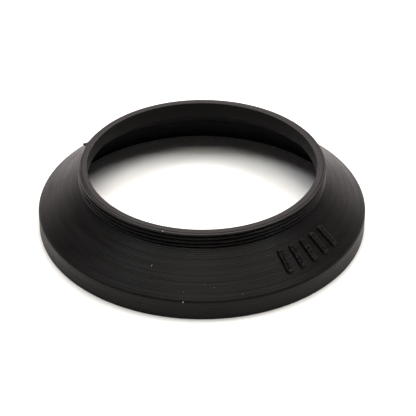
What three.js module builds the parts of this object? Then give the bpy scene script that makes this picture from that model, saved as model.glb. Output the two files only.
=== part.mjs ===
// Screw-in lens hood: a shallow printed cone with a fine male filter thread at its narrow end.
// Millimetres, +Z up. The hood stands on its wide rim. The origin is the centre of the rim's face,
// and +Z runs along the optical axis towards the thread. Azimuth 0 faces -Y and grows towards +X.

import * as THREE from "three";

// Threaded collar
const threadMajorDiameter = 30.5; // filter thread M30.5 x 0.5, right-handed
const threadPitch = 0.5;
const threadDepth = 0.32; // crest to root
const grooveWidth = 0.42; // at the crests
const threadStartAzimuth = 303; // degrees, where the groove leaves the top face
const threadFadeTurns = 0.06; // length over which the groove reaches its full depth
const leadInWidth = 0.15; // chamfer at the top of the thread
const leadInHeight = 0.18;
const collarHeight = 1.8; // threaded neck above the cone
const boreDiameter = 28.3;

// Cone
const coneAngle = THREE.MathUtils.degToRad(35.8); // outer surface above the horizontal
const coneWall = 0.8; // square to the surface
const throatHeight = 1.34; // flare between the collar's bore and the inside of the cone

// Rim
const rimDiameter = 40.8;
const rimHeight = 2.6; // up to where the rounded edge runs into the cone
const rimWall = 1.2;
const rimEdgeRadius = 0.4;

// Index ribs, a row of plain raised bars on the cone
const ribCount = 5;
const ribSpacing = 5.8; // degrees from one rib to the next
const ribRowAzimuth = 44.5; // degrees, the middle of the row
const ribPlace = 0.45; // how far up the cone's slope the middle of a rib lies
const ribWidth = 0.9;
const ribLength = 3.1;
const ribHeight = 0.3;
const ribCornerRadius = 0.25;
const ribBond = 0.02; // clearance under a rib, more than a corner of the faceted cone stands proud

// Fineness of the round surfaces
const facets = 96;
const threadRows = 6; // rows of vertices for each pitch of the thread
const edgeSteps = 4; // steps round the rim's rounded edge
const ribCornerSteps = 3;
const halfFacet = 180 / facets; // degrees, so that a flat, not a corner, faces -Y

// Radii and heights that follow from the sizes above
const crestRadius = threadMajorDiameter / 2;
const rootRadius = crestRadius - threadDepth;
const boreRadius = boreDiameter / 2;
const rimRadius = rimDiameter / 2;
const rimBoreRadius = rimRadius - rimWall;
const coneFootRadius = rimRadius - rimEdgeRadius * (1 - Math.sin(coneAngle));
const coneTopHeight = rimHeight + (coneFootRadius - rootRadius) * Math.tan(coneAngle);
const topHeight = coneTopHeight + collarHeight;

// Radius of the cone's inner surface at a height: the outer surface moved in by the wall.
function coneInnerRadius(height) {
  return coneFootRadius - coneWall / Math.sin(coneAngle) - (height - rimHeight) / Math.tan(coneAngle);
}

// Height at which the cone's inner surface runs into the rim's bore.
const rimBoreHeight = rimHeight - (rimBoreRadius - coneInnerRadius(rimHeight)) * Math.tan(coneAngle);

// A ring turned about Z. The profile is a list of [radius, height], outer side going up, and is
// closed here. Its columns of corners start at the given azimuth, in degrees.
function turnedRing(profile, startAzimuth) {
  const points = [...profile, profile[0]].map(([radius, height]) => new THREE.Vector2(radius, height));
  const ring = new THREE.LatheGeometry(points, facets, THREE.MathUtils.degToRad(startAzimuth));
  return ring.rotateX(Math.PI / 2);
}

function part(name, geometry, roughness) {
  const blackPlastic = new THREE.MeshStandardMaterial({ color: 0x1d1b1b, roughness, metalness: 0 });
  const mesh = new THREE.Mesh(geometry, blackPlastic);
  mesh.name = name;
  return mesh;
}

// Outer radius of the collar at a height, after that many turns from the thread's start.
function threadRadius(height, turns) {
  const belowTop = topHeight - height;
  const leadIn = crestRadius - leadInWidth * Math.max(0, 1 - belowTop / leadInHeight);
  const pitchesDown = belowTop / threadPitch - turns;
  const nearestGroove = Math.max(0, Math.round(pitchesDown));
  const fromGroove = Math.abs(pitchesDown - nearestGroove) * threadPitch;
  const depth = threadDepth * Math.max(0, 1 - fromGroove / (grooveWidth / 2));
  const fade = THREE.MathUtils.smoothstep(nearestGroove + turns, 0, threadFadeTurns);
  return Math.min(leadIn, crestRadius - depth * fade);
}

// The collar is turned with rows of corners down its outer side. The rows are then slanted along
// the groove: round one turn each row drops by a pitch and meets the row a pitch below its own
// start. Rows stop at the collar's two ends.
function threadedCollar() {
  const rowCount = Math.ceil((collarHeight / threadPitch + 1) * threadRows);
  const rowDrop = threadPitch / threadRows;
  const rows = Array.from({ length: rowCount + 1 }, (_, row) => [crestRadius, topHeight - row * rowDrop]);
  const profile = [[boreRadius, coneTopHeight], ...rows.reverse(), [boreRadius, topHeight]];
  const geometry = turnedRing(profile, threadStartAzimuth);
  const position = geometry.getAttribute("position");
  const cornersInColumn = profile.length + 1;
  const corner = new THREE.Vector3();
  for (let i = 0; i < position.count; i++) {
    corner.fromBufferAttribute(position, i);
    const radius = Math.hypot(corner.x, corner.y);
    if (radius < (boreRadius + crestRadius) / 2) continue;
    const turns = 1 - Math.floor(i / cornersInColumn) / facets;
    const slanted = corner.z + threadPitch * (1 - turns);
    const height = THREE.MathUtils.clamp(slanted, coneTopHeight, topHeight);
    const scale = threadRadius(height, turns) / radius;
    position.setXYZ(i, corner.x * scale, corner.y * scale, height);
  }
  return part("threaded_collar", geometry, 0.4);
}

function shadeCone() {
  const throatFoot = coneTopHeight - throatHeight;
  const profile = [
    [coneInnerRadius(rimHeight), rimHeight],
    [coneFootRadius, rimHeight],
    [rootRadius, coneTopHeight],
    [boreRadius, coneTopHeight],
    [coneInnerRadius(throatFoot), throatFoot],
  ];
  return part("shade_cone", turnedRing(profile, halfFacet), 0.5);
}

function frontRim() {
  const arcCentreHeight = rimHeight - rimEdgeRadius * Math.cos(coneAngle);
  const arcSweep = Math.PI / 2 - coneAngle;
  const edge = Array.from({ length: edgeSteps + 1 }, (_, step) => {
    const angle = (arcSweep * step) / edgeSteps;
    const inset = rimEdgeRadius * (1 - Math.cos(angle));
    return [rimRadius - inset, arcCentreHeight + rimEdgeRadius * Math.sin(angle)];
  });
  const profile = [
    [rimBoreRadius, 0],
    [rimRadius, 0],
    ...edge,
    [coneInnerRadius(rimHeight), rimHeight],
    [rimBoreRadius, rimBoreHeight],
  ];
  return part("front_rim", turnedRing(profile, halfFacet), 0.5);
}

// A bar with rounded corners, flat on the XY plane, its length along Y.
function ribGeometry() {
  const x = ribWidth / 2 - ribCornerRadius;
  const y = ribLength / 2 - ribCornerRadius;
  const outline = new THREE.Shape();
  outline.absarc(x, y, ribCornerRadius, 0, Math.PI / 2);
  outline.absarc(-x, y, ribCornerRadius, Math.PI / 2, Math.PI);
  outline.absarc(-x, -y, ribCornerRadius, Math.PI, 1.5 * Math.PI);
  outline.absarc(x, -y, ribCornerRadius, 1.5 * Math.PI, 2 * Math.PI);
  outline.closePath();
  return new THREE.ExtrudeGeometry(outline, {
    depth: ribHeight,
    bevelEnabled: false,
    curveSegments: ribCornerSteps,
  });
}

// Each rib lies along the cone's slope, between the rim and the collar.
function indexRibs() {
  const row = new THREE.Group();
  const geometry = ribGeometry();
  const facetInset = Math.cos(Math.PI / facets);
  const middleRadius = THREE.MathUtils.lerp(coneFootRadius, rootRadius, ribPlace) * facetInset;
  const middleHeight = THREE.MathUtils.lerp(rimHeight, coneTopHeight, ribPlace);
  const facetSlope = Math.atan2(coneTopHeight - rimHeight, (coneFootRadius - rootRadius) * facetInset);
  for (let i = 0; i < ribCount; i++) {
    const rib = part(`index_rib_${i + 1}`, geometry, 0.45);
    rib.position.y = -middleRadius - ribBond * Math.sin(facetSlope);
    rib.position.z = middleHeight + ribBond * Math.cos(facetSlope);
    rib.rotation.x = facetSlope;
    const spoke = new THREE.Group();
    spoke.rotation.z = THREE.MathUtils.degToRad(ribRowAzimuth + (i - (ribCount - 1) / 2) * ribSpacing);
    spoke.add(rib);
    row.add(spoke);
  }
  return row;
}

const hood = new THREE.Group();
hood.add(threadedCollar(), shadeCone(), frontRim(), indexRibs());

export default hood;
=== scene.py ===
# Screw-in lens hood in black printed plastic, standing on its rim with the thread upwards.
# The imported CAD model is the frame: every size and place comes from its boxes or from the sizes below.
import math
import random

import bmesh
import bpy
from mathutils import Matrix, Vector, noise


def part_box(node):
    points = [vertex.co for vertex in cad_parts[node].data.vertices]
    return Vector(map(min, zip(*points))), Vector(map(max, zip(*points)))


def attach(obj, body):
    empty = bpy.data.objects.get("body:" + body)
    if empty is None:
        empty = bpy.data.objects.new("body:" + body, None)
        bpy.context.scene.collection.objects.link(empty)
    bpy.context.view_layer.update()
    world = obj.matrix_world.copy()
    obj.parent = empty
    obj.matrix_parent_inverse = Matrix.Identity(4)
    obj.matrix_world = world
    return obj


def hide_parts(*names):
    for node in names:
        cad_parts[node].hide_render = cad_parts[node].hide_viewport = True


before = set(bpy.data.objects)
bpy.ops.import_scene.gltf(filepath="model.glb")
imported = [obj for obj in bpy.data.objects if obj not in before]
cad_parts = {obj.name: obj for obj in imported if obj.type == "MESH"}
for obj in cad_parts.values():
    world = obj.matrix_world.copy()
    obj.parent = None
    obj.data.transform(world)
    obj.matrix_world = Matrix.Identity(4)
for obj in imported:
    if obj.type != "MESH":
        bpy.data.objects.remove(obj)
mm = 0.001
sharpFrom = math.radians(55)  # corners at least this sharp stay crisp

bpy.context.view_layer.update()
scene = bpy.context.scene
scene.view_settings.view_transform = "Standard"  # a burnt-out white table stays white


def srgb(hexCode):
    parts = [int(hexCode[i:i + 2], 16) / 255 for i in (1, 3, 5)]
    linear = [p / 12.92 if p <= 0.04045 else ((p + 0.055) / 1.055) ** 2.4 for p in parts]
    return (*linear, 1)


def addNode(tree, kind, settings=None, links=None):
    node = tree.nodes.new(kind)
    for key, value in (settings or {}).items():
        if isinstance(key, int) or key in node.inputs:
            node.inputs[key].default_value = value
        else:
            setattr(node, key, value)
    for key, source in (links or {}).items():
        tree.links.new(source, node.inputs[key])
    return node


def newMaterial(name):
    material = bpy.data.materials.new(name)
    material.use_nodes = True
    tree = material.node_tree
    tree.nodes.clear()
    place = addNode(tree, "ShaderNodeTexCoord").outputs["Object"]
    return material, tree, place


def newPiece(name, bm, materials):
    bmesh.ops.recalc_face_normals(bm, faces=bm.faces)
    mesh = bpy.data.meshes.new(name)
    bm.to_mesh(mesh)
    bm.free()
    mesh.shade_smooth()
    mesh.set_sharp_from_angle(angle=sharpFrom)
    for material in materials:
        mesh.materials.append(material)
    piece = bpy.data.objects.new(name, mesh)
    scene.collection.objects.link(piece)
    return piece


# Camera, on a long lens
camera = {
    "elevation": 34.94,  # degrees above the table
    "distance": 182.5 * mm,
    "aim": Vector((0.75, 0.635, 0.91)) * mm,
    "roll": 0.22,  # degrees
    "focalLength": 125.1,
    "sensor": 36,
}


def placeCamera():
    data = bpy.data.cameras.new("camera")
    data.lens = camera["focalLength"]
    data.sensor_width = camera["sensor"]
    data.clip_start = 5 * mm
    lift = math.radians(camera["elevation"])
    back = Vector((0, -math.cos(lift), math.sin(lift))) * camera["distance"]
    obj = bpy.data.objects.new("camera", data)
    tilt = Matrix.Rotation(math.pi / 2 - lift, 4, "X")
    roll = Matrix.Rotation(math.radians(camera["roll"]), 4, "Z")
    obj.matrix_world = Matrix.Translation(camera["aim"] + back) @ tilt @ roll
    scene.collection.objects.link(obj)
    scene.camera = obj


placeCamera()
print("camera placed")

# Sizes shared by the printed pieces
layer = {
    "height": 0.16 * mm,
    "rows": 4,  # rows of vertices in each layer
    "hiddenRows": 2,  # the same on walls that are hardly seen
    "bead": 0.007 * mm,  # how far the line between two layers is sunk
    "overhangBead": 0.0105 * mm,  # the same under an overhang, where beads sag
    "threadBead": 0.0042 * mm,  # the same on the thread
    "shift": 0.009 * mm,  # how far a whole layer may sit in or out
    "wander": 0.008 * mm,  # how far a layer drifts as it goes round
    "wanderLength": 7 * mm,
    "wanderStep": 3.7,  # how unlike the drift of two neighbouring layers is
    "flatRows": 6,  # rows of vertices in each line of a flat face
}

hood = {
    "boreRadius": 14.15 * mm,
    "coneWall": 0.8 * mm,
    "rimWall": 1.2 * mm,
    "throatHeight": 1.34 * mm,  # flare between the bore and the inside of the cone
    "coneSlope": math.radians(35.8),
    "rimEdge": 0.4 * mm,  # radius of the rounding between rim and cone
    "rimEdgeSteps": 6,
    "rimFootEdge": 0.1 * mm,  # the first layer's rounded lower edge
    "rimFootCut": 0.3,  # how far in the middle of that edge lies
    "rimFaceLines": 3,  # lines of plastic side by side in the face it stands on
    "rimFaceLineDepth": 0.01 * mm,
    "steps": 384,
}

_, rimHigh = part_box("front_rim")
_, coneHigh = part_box("shade_cone")
collarLow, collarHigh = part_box("threaded_collar")
rimRadius = rimHigh.x
crestRadius = collarHigh.x
footRadius = coneHigh.x
footHeight = rimHigh.z
neckHeight = collarLow.z
topHeight = collarHigh.z

randomLayers = random.Random(31)
layerCount = 200
layerShift = [randomLayers.uniform(-1, 1) for _ in range(layerCount)]


def coneOuterRadius(height):
    return footRadius - (height - footHeight) / math.tan(hood["coneSlope"])


def coneInnerRadius(height):
    return coneOuterRadius(height) - hood["coneWall"] / math.sin(hood["coneSlope"])


neckRadius = coneOuterRadius(neckHeight)


# Printed walls: rows of vertices at the same heights on every wall, each layer bulging a little. The
# end point is left to the wall that follows.
def wallRows(start, end, rows, bead):
    (r0, z0), (r1, z1) = start, end
    length = math.hypot(r1 - r0, z1 - z0)
    outward = ((z1 - z0) / length, (r0 - r1) / length)
    spacing = layer["height"] / rows
    heights = [z0]
    if abs(z1 - z0) > spacing:
        low, high = sorted((z0, z1))
        first, last = math.floor(low / spacing) + 1, math.ceil(high / spacing)
        levels = [k * spacing for k in range(first, last)]
        heights += levels if z1 > z0 else levels[::-1]
    points = []
    for z in heights:
        share = 0 if z1 == z0 else (z - z0) / (z1 - z0)
        sunk = bead * (1 - abs(math.sin(math.pi * z / layer["height"])))
        points.append((r0 + (r1 - r0) * share - outward[0] * sunk, z - outward[1] * sunk))
    return points


# Printed flat faces: a few lines side by side, each rounded on top with a narrow gap to the next
def flatRows(start, end, lines, sink):
    (r0, z0), (r1, _) = start, end
    rows = lines * layer["flatRows"]
    outward = 1 if r1 < r0 else -1
    points = []
    for i in range(rows):
        share = i / rows
        sunk = sink * (1 - math.sqrt(abs(math.sin(math.pi * lines * share))))
        points.append((r0 + (r1 - r0) * share, z0 - outward * sunk))
    return points


def turnRing(profile, steps):
    bm = bmesh.new()
    verts = [bm.verts.new((r, 0, z)) for r, z in profile]
    edges = [bm.edges.new((verts[i - 1], verts[i])) for i in range(len(verts))]
    bmesh.ops.spin(
        bm, geom=verts + edges, cent=(0, 0, 0), axis=(0, 0, 1), dvec=(0, 0, 0),
        angle=2 * math.pi, steps=steps, use_merge=True, use_duplicate=False,
    )
    return bm


def azimuthOf(co):
    return math.degrees(math.atan2(co.x, -co.y))


# Each layer sits a little in or out and drifts as it goes round, as the nozzle leaves it. Only the
# part of a surface that faces sideways moves.
def driftLayers(bm, strength=1.0):
    bm.normal_update()
    moves = []
    for vert in bm.verts:
        index = int(vert.co.z / layer["height"])
        place = Vector((vert.co.x, vert.co.y, 0)) / layer["wanderLength"]
        place.z = index * layer["wanderStep"]
        drift = layer["shift"] * layerShift[index % layerCount] + layer["wander"] * noise.noise(place)
        flat = Vector((vert.co.x, vert.co.y, 0)).normalized()
        side = flat.dot(vert.normal)
        moves.append(flat * drift * side * strength)
    for vert, move in zip(bm.verts, moves):
        vert.co += move


# Printed PLA, as it leaves the nozzle: satin black that catches a thin line of light on each layer, a
# dull grain over it, bands where the layers took the heat differently, and wide faint smudges.
filament = {
    "dark": "#080707",
    "light": "#121111",
    "roughness": 0.4,
    "specular": 0.125,
    "ior": 1.46,
    "bandLength": 8 * mm,  # how far a band runs round the ring
    "bandHeight": 2.1,  # in layers
    "bandGloss": 0.05,
    "grain": 0.1 * mm,
    "grainGloss": 0.1,
    "grainDepth": 0.018 * mm,
    "grainBump": 0.5,
    "smudge": 5 * mm,
    "smudgeGloss": 0.03,
}


# Roughness added by a noise, from less to more of it, over the noise's usual range of values
def glossFrom(tree, source, spread, middle=0.0, lowest=0.3):
    return addNode(
        tree, "ShaderNodeMapRange",
        {"From Min": lowest, "From Max": 0.7, "To Min": middle - spread, "To Max": middle + spread},
        {"Value": source.outputs["Fac"]},
    )


def filamentMaterial(name, look):
    look = {**filament, **look}
    material, tree, place = newMaterial(name)
    around = 1 / look["bandLength"]
    stretch = (around, around, 1 / (look["bandHeight"] * layer["height"]))
    bands = addNode(tree, "ShaderNodeMapping", {"Scale": stretch}, {"Vector": place})
    bandNoise = addNode(
        tree, "ShaderNodeTexNoise", {"Scale": 1.0, "Detail": 2.0, "Roughness": 0.6},
        {"Vector": bands.outputs["Vector"]},
    )
    grain = addNode(
        tree, "ShaderNodeTexNoise", {"Scale": 1 / look["grain"], "Detail": 2.0, "Roughness": 0.65},
        {"Vector": place},
    )
    smudge = addNode(
        tree, "ShaderNodeTexNoise", {"Scale": 1 / look["smudge"], "Detail": 3.0, "Roughness": 0.5},
        {"Vector": place},
    )
    colour = addNode(
        tree, "ShaderNodeMix",
        {"data_type": "RGBA", 6: srgb(look["dark"]), 7: srgb(look["light"])},
        {0: bandNoise.outputs["Fac"]},
    )
    bandGloss = glossFrom(tree, bandNoise, look["bandGloss"])
    grainGloss = glossFrom(tree, grain, look["grainGloss"])
    smudgeGloss = glossFrom(tree, smudge, look["smudgeGloss"], middle=look["roughness"], lowest=0.35)
    firstSum = addNode(
        tree, "ShaderNodeMath", {"operation": "ADD"},
        {0: bandGloss.outputs["Result"], 1: grainGloss.outputs["Result"]},
    )
    roughness = addNode(
        tree, "ShaderNodeMath", {"operation": "ADD", "use_clamp": True},
        {0: firstSum.outputs["Value"], 1: smudgeGloss.outputs["Result"]},
    )
    bump = addNode(
        tree, "ShaderNodeBump", {"Strength": look["grainBump"], "Distance": look["grainDepth"]},
        {"Height": grain.outputs["Fac"]},
    )
    shader = addNode(
        tree, "ShaderNodeBsdfPrincipled",
        {"IOR": look["ior"], "Specular IOR Level": look["specular"]},
        {
            "Base Color": colour.outputs[2], "Roughness": roughness.outputs["Value"],
            "Normal": bump.outputs["Normal"],
        },
    )
    addNode(tree, "ShaderNodeOutputMaterial", links={"Surface": shader.outputs["BSDF"]})
    return material


wallFilament = filamentMaterial("black_pla_layered_wall", {})
# duller, so that light slides softly round the rim's edge
rimFilament = filamentMaterial("black_pla_rim_wall", {"roughness": 0.5, "specular": 0.14})
# loose lines under the cone, painted a lighter grey: painted fill light in the shade under the cone and
# inside the rim
shadeFillFilament = filamentMaterial(
    "black_pla_overhang_painted_fill", {"roughness": 0.5, "dark": "#171618", "light": "#1e1c1f"}
)
# hardly any shine inside the bore
boreFilament = filamentMaterial("black_pla_bore", {"roughness": 0.48, "specular": 0.065})
# glossier crests that pick out each turn of the thread
threadFilament = filamentMaterial(
    "black_pla_thread", {"roughness": 0.36, "specular": 0.22, "light": "#181616"}
)
# the last layer, ironed smooth by the nozzle and a little warm in tone; its lighter colour is painted light
# from above on the faces that point up
topSkinLitFilament = filamentMaterial(
    "black_pla_top_skin_painted_light", {"roughness": 0.42, "dark": "#100d0e", "light": "#1b1718", "specular": 0.21}
)
ribFilament = filamentMaterial("black_pla_raised_bar", {"roughness": 0.4})
print("filament materials made")


# A finished piece stands for its CAD node, hides it and rides on the one body
def standFor(piece, node):
    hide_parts(node)
    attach(piece, "root")


def makeRim():
    slope = hood["coneSlope"]
    arc = hood["rimEdge"]
    arcHeight = footHeight - arc * math.cos(slope)
    boreRadius = rimRadius - hood["rimWall"]
    innerFoot = coneInnerRadius(footHeight)
    boreHeight = footHeight - (boreRadius - innerFoot) * math.tan(slope)
    foot = hood["rimFootEdge"]
    cut = foot * hood["rimFootCut"]
    corners = [(rimRadius - foot, 0), (rimRadius - cut, cut), (rimRadius, foot), (rimRadius, arcHeight)]
    for i in range(1, hood["rimEdgeSteps"] + 1):
        angle = (math.pi / 2 - slope) * i / hood["rimEdgeSteps"]
        corners.append((rimRadius - arc * (1 - math.cos(angle)), arcHeight + arc * math.sin(angle)))
    faceEnd = (rimRadius - foot, 0)
    profile = flatRows((boreRadius, 0), faceEnd, hood["rimFaceLines"], hood["rimFaceLineDepth"])
    for start, end in zip(corners, corners[1:]):
        profile += wallRows(start, end, layer["rows"], layer["bead"])
    profile.append(corners[-1])
    rows = layer["hiddenRows"]
    profile += wallRows((innerFoot, footHeight), (boreRadius, boreHeight), rows, layer["overhangBead"])
    profile += wallRows((boreRadius, boreHeight), (boreRadius, 0), rows, layer["bead"])
    bm = turnRing(profile, hood["steps"])
    driftLayers(bm)
    piece = newPiece("front_rim_print", bm, [rimFilament, shadeFillFilament])
    # faces inside the rim take the lighter overhang material: painted fill light in the shade under the
    # cone
    nearBore = boreRadius + 0.2 * mm
    aboveFace = 0.01 * mm
    for face in piece.data.polygons:
        centre = face.center
        if math.hypot(centre.x, centre.y) < nearBore and centre.z > aboveFace:
            face.material_index = 1
    standFor(piece, "front_rim")


makeRim()
print("front rim made")


def makeCone():
    bore = hood["boreRadius"]
    throatFoot = neckHeight - hood["throatHeight"]
    lip = (coneInnerRadius(throatFoot), throatFoot)
    foot = (coneInnerRadius(footHeight), footHeight)
    neck = (neckRadius, neckHeight)
    profile = [foot]
    profile += wallRows((footRadius, footHeight), neck, layer["rows"], layer["bead"])
    profile.append(neck)
    profile += wallRows((bore, neckHeight), lip, layer["rows"], layer["bead"])
    profile += wallRows(lip, foot, layer["hiddenRows"], layer["overhangBead"])
    bm = turnRing(profile, hood["steps"])
    driftLayers(bm)
    piece = newPiece("shade_cone_print", bm, [wallFilament, shadeFillFilament])
    # the downward faces under the throat take the lighter overhang material: painted fill light in the
    # shade under the cone
    overhang = -0.3  # faces that point at least this far down
    for face in piece.data.polygons:
        if face.normal.z < overhang and face.center.z <= throatFoot:
            face.material_index = 1
    standFor(piece, "shade_cone")


makeCone()
print("shade cone made")

thread = {
    "pitch": 0.5 * mm,
    "depth": 0.3 * mm,
    "grooveWidth": 0.42 * mm,
    "start": 303,  # degrees, where the groove leaves the end face
    "fadeTurns": 0.06,
    "stepping": 0.15,  # how much the layers show as steps in the thread's flanks
    "drift": 0.6,  # the collar's layers drift less than the cone's
    "steps": 480,
}

# The end face: a rounded outer line of plastic, a little lower than the flat lines inside it
endFace = {
    "outerWidth": 0.38 * mm,
    "outerSteps": 12,
    "drop": 0.01 * mm,
    "outerSide": 0.13 * mm,  # how far the outer line falls away on its outer side
    "innerSide": 0.06 * mm,
    "gap": 0.02 * mm,
    "lines": 2,
    "lineDepth": 0.008 * mm,
}

# The lump that the nozzle leaves where each turn of a layer ends
seamLump = {
    "azimuth": -107,
    "height": 7.9 * mm,
    "radius": 0.36 * mm,
    "rise": 0.5 * mm,
    "steepness": 1.5,
    "reach": 2,  # in radii, past which nothing moves
    "wall": 0.5 * mm,  # only this much of the collar's outer wall moves
}


# Outer radius of the collar at a height, after that many turns from the thread's start
def threadRadius(height, turns):
    belowTop = topHeight - height
    pitchesDown = belowTop / thread["pitch"] - turns
    nearest = max(0, round(pitchesDown))
    fromGroove = abs(pitchesDown - nearest) * thread["pitch"]
    depth = thread["depth"] * max(0, 1 - fromGroove / (thread["grooveWidth"] / 2))
    fade = min(1, (nearest + turns) / thread["fadeTurns"])
    return crestRadius - depth * fade


def cutThread(bm):
    half = (crestRadius + hood["boreRadius"]) / 2
    for vert in bm.verts:
        radius = math.hypot(vert.co.x, vert.co.y)
        if radius < half:
            continue
        turns = ((thread["start"] - azimuthOf(vert.co)) / 360) % 1
        smooth = threadRadius(vert.co.z, turns)
        layerMiddle = (math.floor(vert.co.z / layer["height"]) + 0.5) * layer["height"]
        stepped = threadRadius(min(layerMiddle, topHeight), turns)
        target = smooth + (stepped - smooth) * thread["stepping"]
        share = min(1, (radius - half) / (crestRadius - half))
        scale = 1 + (target / crestRadius - 1) * share
        vert.co.x *= scale
        vert.co.y *= scale


def raiseLump(bm):
    turn = math.radians(seamLump["azimuth"])
    for vert in bm.verts:
        radius = math.hypot(vert.co.x, vert.co.y)
        if radius < crestRadius - seamLump["wall"]:
            continue
        centre = Vector((radius * math.sin(turn), -radius * math.cos(turn), seamLump["height"]))
        away = (vert.co - centre).length / seamLump["radius"]
        if away < seamLump["reach"]:
            out = Vector((vert.co.x, vert.co.y, 0)).normalized()
            vert.co += out * seamLump["rise"] * math.exp(-away * away * seamLump["steepness"])


def endFaceRows():
    half = endFace["outerWidth"] / 2
    middle = crestRadius - half
    steps = endFace["outerSteps"]
    points = []
    for i in range(steps + 1):
        angle = math.pi * i / steps
        fall = endFace["outerSide"] if i < steps / 2 else endFace["innerSide"]
        height = topHeight - endFace["drop"] - fall * (1 - math.sin(angle))
        points.append((middle + half * math.cos(angle), height))
    inner = (middle - half - endFace["gap"], topHeight)
    bore = (hood["boreRadius"], topHeight)
    return points + flatRows(inner, bore, endFace["lines"], endFace["lineDepth"])


def makeCollar():
    bore = hood["boreRadius"]
    top = endFaceRows()
    profile = [(bore, neckHeight)]
    profile += wallRows((crestRadius, neckHeight), top[0], layer["rows"], layer["threadBead"])
    profile += top
    profile += wallRows((bore, topHeight), (bore, neckHeight), layer["rows"], layer["bead"])[:-1]
    bm = turnRing(profile, thread["steps"])
    cutThread(bm)
    driftLayers(bm, thread["drift"])
    raiseLump(bm)
    piece = newPiece("threaded_collar_print", bm, [threadFilament, topSkinLitFilament, boreFilament])
    # the last layer's upward faces take the top skin, whose lighter colour is painted light from above
    skinFoot = topHeight - 0.08 * mm
    skinTilt = 0.5  # faces of the last layer that point at least this far up
    nearBore = bore + 0.1 * mm
    for face in piece.data.polygons:
        if face.normal.z > skinTilt and face.center.z > skinFoot:
            face.material_index = 1
        elif math.hypot(face.center.x, face.center.y) < nearBore:
            face.material_index = 2
    standFor(piece, "threaded_collar")


makeCollar()
print("threaded collar made")

rib = {
    "width": 0.9 * mm,
    "length": 3.1 * mm,
    "place": 0.45,  # how far up the cone's slope
    "height": 0.32 * mm,
    "corner": 0.25 * mm,
    "sunk": 0.08 * mm,  # below the cone's surface
    "grid": 0.045 * mm,
    "valley": 0.35,  # how deep the line between a rib's two beads is
    "stepDepth": 0.02 * mm,  # how far the line between two layers is sunk
    "ragged": 0.05 * mm,  # how uneven the beads are
    "raggedLength": 0.5 * mm,
}


# Height of a rib over the cone, as a share of its full height: two rounded beads along its length
def ribHeightAt(x, y):
    inX = rib["width"] / 2 - rib["corner"]
    inY = rib["length"] / 2 - rib["corner"]
    dx = max(0, abs(x) - inX)
    dy = max(0, abs(y) - inY)
    if dx == 0 and dy == 0:
        inside = min(rib["width"] / 2 - abs(x), rib["length"] / 2 - abs(y))
    else:
        inside = rib["corner"] - math.hypot(dx, dy)
    half = rib["width"] / 4
    if inside < half:
        return math.sqrt(max(0, 1 - (1 - inside / half) ** 2))
    return 1 - rib["valley"] * (min(1, (inside - half) / half)) ** 2


def makeRib(number):
    node = f"index_rib_{number}"
    low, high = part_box(node)
    centre = (low + high) / 2
    azimuth = math.atan2(centre.x, -centre.y)
    bm = bmesh.new()
    columns = round(rib["width"] / rib["grid"])
    rows = round(rib["length"] / rib["grid"])
    place = Matrix.Diagonal((rib["width"] / 2, rib["length"] / 2, 1, 1))
    bmesh.ops.create_grid(bm, x_segments=columns, y_segments=rows, size=1, matrix=place)
    border = [edge for edge in bm.edges if edge.is_boundary]
    middleHeight = footHeight + (neckHeight - footHeight) * rib["place"]
    onCone = Matrix.Translation((0, -coneOuterRadius(middleHeight), middleHeight))
    tilt = Matrix.Rotation(hood["coneSlope"], 4, "X")
    middle = Matrix.Rotation(azimuth, 4, "Z") @ onCone @ tilt
    # pull the square corners in to the rounded outline
    inX = rib["width"] / 2 - rib["corner"]
    inY = rib["length"] / 2 - rib["corner"]
    for vert in bm.verts:
        dx, dy = abs(vert.co.x) - inX, abs(vert.co.y) - inY
        if dx > 0 and dy > 0:
            reach = math.hypot(dx, dy)
            scale = max(dx, dy) / reach
            vert.co.x = math.copysign(inX + dx * scale, vert.co.x)
            vert.co.y = math.copysign(inY + dy * scale, vert.co.y)
    for vert in bm.verts:
        vert.co.z = rib["height"] * ribHeightAt(vert.co.x, vert.co.y)
    skirt = bmesh.ops.extrude_edge_only(bm, edges=border)["geom"]
    for item in skirt:
        if isinstance(item, bmesh.types.BMVert):
            item.co.z = -rib["sunk"]
    bottom = [edge for edge in bm.edges if edge.is_boundary]
    bmesh.ops.holes_fill(bm, edges=bottom, sides=0)
    bmesh.ops.triangulate(bm, faces=[face for face in bm.faces if len(face.verts) > 4])
    bmesh.ops.transform(bm, matrix=middle, verts=bm.verts)
    # layers step up the rib as they do up the cone, and its surface is a little ragged
    outOfCone = Vector((0, -math.sin(hood["coneSlope"]), math.cos(hood["coneSlope"])))
    outOfCone.rotate(Matrix.Rotation(azimuth, 3, "Z"))
    for vert in bm.verts:
        index = math.floor(vert.co.z / layer["height"])
        phase = abs(math.sin(math.pi * vert.co.z / layer["height"]))
        place = Vector((vert.co.x, vert.co.y, index * layer["height"] * 2)) / rib["raggedLength"]
        ragged = noise.noise(place)
        vert.co -= outOfCone * rib["stepDepth"] * (1 - phase)
        vert.co += outOfCone * rib["ragged"] * ragged
    piece = newPiece(f"index_rib_{number}_print", bm, [ribFilament])
    standFor(piece, node)


ribNodes = sorted(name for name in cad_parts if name.startswith("index_rib_"))
for number in range(1, len(ribNodes) + 1):
    makeRib(number)
print("index ribs made")

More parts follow.
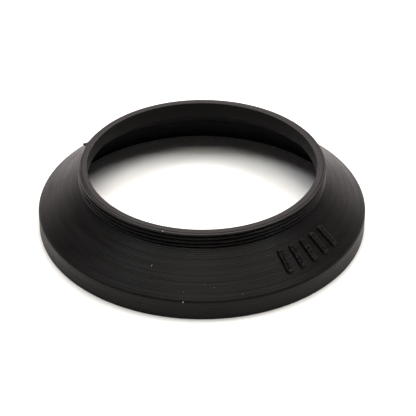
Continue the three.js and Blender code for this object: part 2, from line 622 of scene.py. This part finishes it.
# A few small lumps left on the print, painted pale: painted glints of light on them. Azimuths are in
# degrees.
specks = {
    "dark": "#8d887f",
    "light": "#b9b4aa",
    "mottle": 0.05 * mm,
    "roughness": 0.6,
    "specular": 0.3,
    "width": 1.2,  # in radii, along the layers
    "thickness": 0.7,
    "rimEdgeAngle": math.radians(20),  # how far up the rounded edge its speck sits
    # azimuth, height, radius, length up the slope in radii
    "onCone": [
        (-6.0, 3.17 * mm, 0.028 * mm, 1),
        (-19.2, 4.69 * mm, 0.022 * mm, 6),
        (1.2, 3.72 * mm, 0.018 * mm, 1),
        (4.5, 3.48 * mm, 0.018 * mm, 2),
        (7.8, 3.31 * mm, 0.018 * mm, 1),
        (13.8, 2.85 * mm, 0.02 * mm, 2),
    ],
    # azimuth, radius
    "onRimEdge": [(-5.8, 0.065 * mm)],
    # azimuth, distance from the axis, radius
    "onEndFace": [
        (-17, 15.2 * mm, 0.06 * mm),
        (-105, 14.2 * mm, 0.05 * mm),
        (-111, 14.2 * mm, 0.04 * mm),
    ],
}


# Painted glints on crumbs of plastic: pale and dry, with a mottle of painted uneven light
def glintSpeckMaterial():
    material, tree, place = newMaterial("painted_glint_speck")
    mottle = addNode(
        tree, "ShaderNodeTexNoise", {"Scale": 1 / specks["mottle"], "Detail": 2.0}, {"Vector": place}
    )
    colour = addNode(
        tree, "ShaderNodeMix",
        {"data_type": "RGBA", 6: srgb(specks["dark"]), 7: srgb(specks["light"])},
        {0: mottle.outputs["Fac"]},
    )
    shader = addNode(
        tree, "ShaderNodeBsdfPrincipled",
        {"Roughness": specks["roughness"], "Specular IOR Level": specks["specular"]},
        {"Base Color": colour.outputs[2]},
    )
    addNode(tree, "ShaderNodeOutputMaterial", links={"Surface": shader.outputs["BSDF"]})
    return material


def makeGlintSpecks():
    bm = bmesh.new()
    slope = Matrix.Rotation(hood["coneSlope"], 4, "X")
    angle = specks["rimEdgeAngle"]
    edgeReach = rimRadius - hood["rimEdge"] * (1 - math.cos(angle))
    edgeHeight = footHeight - hood["rimEdge"] * (math.cos(hood["coneSlope"]) - math.sin(angle))
    endHeight = topHeight - endFace["drop"]
    spots = []
    for azimuth, height, radius, length in specks["onCone"]:
        spots.append((azimuth, coneOuterRadius(height), height, radius, length))
    for azimuth, radius in specks["onRimEdge"]:
        spots.append((azimuth, edgeReach, edgeHeight, radius, 1))
    for azimuth, reach, radius in specks["onEndFace"]:
        spots.append((azimuth, reach, endHeight, radius, 1))
    for azimuth, reach, height, radius, length in spots:
        turn = Matrix.Rotation(math.radians(azimuth), 4, "Z")
        place = turn @ Matrix.Translation((0, -reach, height)) @ slope
        shape = Matrix.Diagonal((specks["width"], length, specks["thickness"], 1))
        bmesh.ops.create_icosphere(bm, subdivisions=2, radius=radius, matrix=place @ shape)
    # the lumps are real; their pale colour is a painted glint
    piece = newPiece("print_zits_painted_glints", bm, [glintSpeckMaterial()])
    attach(piece, "root")


makeGlintSpecks()
print("specks made")


paper = {
    "dark": "#f4f4f4",
    "light": "#fafafa",
    "fibre": 2 * mm,
    "roughness": 0.9,
    "specular": 0.1,
    "halfWidth": 1.5,  # metres
}


# White paper, which burns out to plain white under the lights
def tableMaterial():
    material, tree, place = newMaterial("white_paper_sweep")
    fibre = addNode(
        tree, "ShaderNodeTexNoise", {"Scale": 1 / paper["fibre"], "Detail": 3.0}, {"Vector": place}
    )
    colour = addNode(
        tree, "ShaderNodeMix",
        {"data_type": "RGBA", 6: srgb(paper["dark"]), 7: srgb(paper["light"])},
        {0: fibre.outputs["Fac"]},
    )
    shader = addNode(
        tree, "ShaderNodeBsdfPrincipled",
        {"Roughness": paper["roughness"], "Specular IOR Level": paper["specular"]},
        {"Base Color": colour.outputs[2]},
    )
    addNode(tree, "ShaderNodeOutputMaterial", links={"Surface": shader.outputs["BSDF"]})
    return material


def layTable():
    bm = bmesh.new()
    bmesh.ops.create_grid(bm, x_segments=1, y_segments=1, size=paper["halfWidth"])
    table = newPiece("table", bm, [tableMaterial()])


# Each soft box: width and height, where it hangs, in metres, its glow and its tint. The overhead ones
# face straight down and the others face the hood.
softBoxes = {
    "overheadLeft": {"size": (0.10, 0.12), "place": (-0.20, 0.015, 0.40), "glow": 13.5, "tint": "#fbfdff"},
    "overheadRight": {"size": (0.10, 0.20), "place": (0.20, 0.045, 0.40), "glow": 12.5, "tint": "#fffcfa"},
    "overheadFront": {"size": (0.20, 0.07), "place": (-0.02, -0.115, 0.40), "glow": 5.5, "tint": "#fffdf2"},
    "overheadMiddle": {"size": (0.20, 0.14), "place": (0.0, -0.01, 0.40), "glow": 6.5, "tint": "#fffdf6"},
    "overheadBack": {"size": (0.36, 0.30), "place": (0.0, 0.21, 0.40), "glow": 7.0, "tint": "#fff6f0"},
    "backHigh": {"size": (0.39, 0.21), "place": (0.0, 0.473, 0.369), "glow": 2.4, "tint": "#fff2f4"},
    "backLow": {"size": (0.49, 0.13), "place": (0.0, 0.597, 0.063), "glow": 2.7, "tint": "#fff0f2"},
    "backLowLeft": {"size": (0.49, 0.13), "place": (-0.422, 0.422, 0.063), "glow": 2.0, "tint": "#fff0f2"},
    "backLowRight": {"size": (0.49, 0.13), "place": (0.422, 0.422, 0.063), "glow": 1.8, "tint": "#fff0f2"},
}


def hangSoftBoxes():
    for name, box in softBoxes.items():
        width, height = box["size"]
        data = bpy.data.lights.new(name, "AREA")
        data.shape = "RECTANGLE"
        data.size = width
        data.size_y = height
        data.energy = math.pi * width * height * box["glow"]
        data.color = srgb(box["tint"])[:3]
        lamp = bpy.data.objects.new(name, data)
        place = Vector(box["place"])
        facing = Vector((0, 0, -1)) if name.startswith("overhead") else -place
        turn = facing.to_track_quat("-Z", "Y").to_matrix().to_4x4()
        lamp.matrix_world = Matrix.Translation(place) @ turn
        lamp.visible_camera = False
        scene.collection.objects.link(lamp)


room = {"tint": "#fffaf5", "glow": 0.055}


def dimRoom():
    world = bpy.data.worlds.new("room")
    world.use_nodes = True
    background = world.node_tree.nodes["Background"]
    background.inputs["Color"].default_value = srgb(room["tint"])
    background.inputs["Strength"].default_value = room["glow"]
    scene.world = world


layTable()
hangSoftBoxes()
dimRoom()
print("table and lights set")
